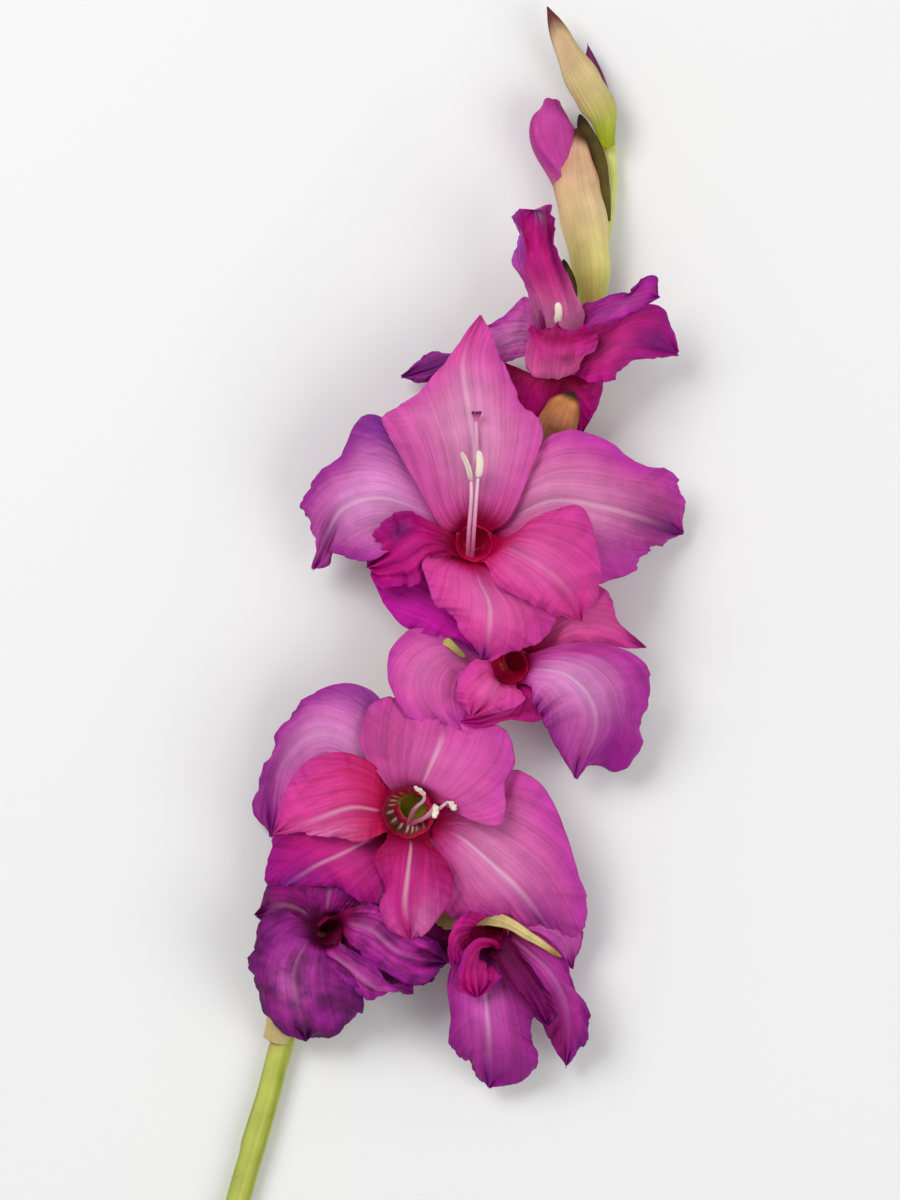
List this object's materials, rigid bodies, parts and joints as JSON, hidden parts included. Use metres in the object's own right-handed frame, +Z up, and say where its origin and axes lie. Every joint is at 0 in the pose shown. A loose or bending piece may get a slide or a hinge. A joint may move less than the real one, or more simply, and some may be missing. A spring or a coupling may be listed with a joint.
{
  "type": "cut gladiolus flower spike",
  "caption": "Cut spike of magenta gladiolus lying on its back: curved green stem, open ruffled florets facing up, sheathed buds towards the tip.",
  "frame": {"origin": "middle of the bounding box at table height, under the spike as it lies", "axes": "+Y along the spike towards the buds, +X across it, +Z up from the table, the way the open florets face"},
  "size_m": [0.161, 0.4312, 0.0503],
  "materials": {
    "stem": "fresh green stalk, satin",
    "green_bract": "fresh yellow-green sheath with fine lengthwise veins, matt",
    "dried_bract": "drying brown sheath, matt",
    "pink_petal": "fresh magenta-pink petal with pale veins, satin",
    "purple_petal": "ageing red-purple petal, satin",
    "wilted_petal": "faded violet petal, creased, matt",
    "throat": "deep pink floret tube, satin",
    "stamen": "pale filaments and cream anthers, matt",
    "bud_petal": "furled magenta petals, satin"
  },
  "bodies": {
    "root": {"bud7_bract": "green_bract", "bud7_corolla": "bud_petal", "bud7_inner_bract": "dried_bract", "bud8_bract": "green_bract", "bud8_corolla": "bud_petal", "bud9_corolla": "bud_petal", "floret1_bract": "green_bract", "floret1_dorsal": "wilted_petal", "floret1_inner_right": "wilted_petal", "floret1_left": "wilted_petal", "floret1_lip": "wilted_petal", "floret1_lower_right": "wilted_petal", "floret1_right": "wilted_petal", "floret1_tube": "throat", "floret2_bract": "dried_bract", "floret2_inner_left": "purple_petal", "floret2_inner_right": "purple_petal", "floret2_left": "purple_petal", "floret2_lip": "purple_petal", "floret2_right": "purple_petal", "floret2_tube": "throat", "floret2_upper_right": "purple_petal", "floret3_bract": "green_bract", "floret3_left": "pink_petal", "floret3_lip": "pink_petal", "floret3_lower_left": "pink_petal", "floret3_right": "pink_petal", "floret3_stamens": "stamen", "floret3_tube": "throat", "floret3_upper_left": "pink_petal", "floret3_upper_right": "pink_petal", "floret4_bract": "green_bract", "floret4_left": "pink_petal", "floret4_lower_left": "pink_petal", "floret4_lower_right": "pink_petal", "floret4_right": "pink_petal", "floret4_tube": "throat", "floret4_upper_left": "pink_petal", "floret4_upper_right": "pink_petal", "floret5_bract": "green_bract", "floret5_dorsal": "pink_petal", "floret5_lip": "pink_petal", "floret5_lower_left": "pink_petal", "floret5_lower_right": "pink_petal", "floret5_stamens": "stamen", "floret5_tube": "throat", "floret5_upper_left": "pink_petal", "floret5_upper_right": "pink_petal", "floret6_bract": "dried_bract", "floret6_dorsal": "purple_petal", "floret6_inner_bract": "dried_bract", "floret6_left": "purple_petal", "floret6_lip": "purple_petal", "floret6_lower_left": "purple_petal", "floret6_lower_right": "purple_petal", "floret6_right": "purple_petal", "floret6_stamens": "stamen", "floret6_tube": "throat", "stem": "stem"}
  },
  "joints": []
}
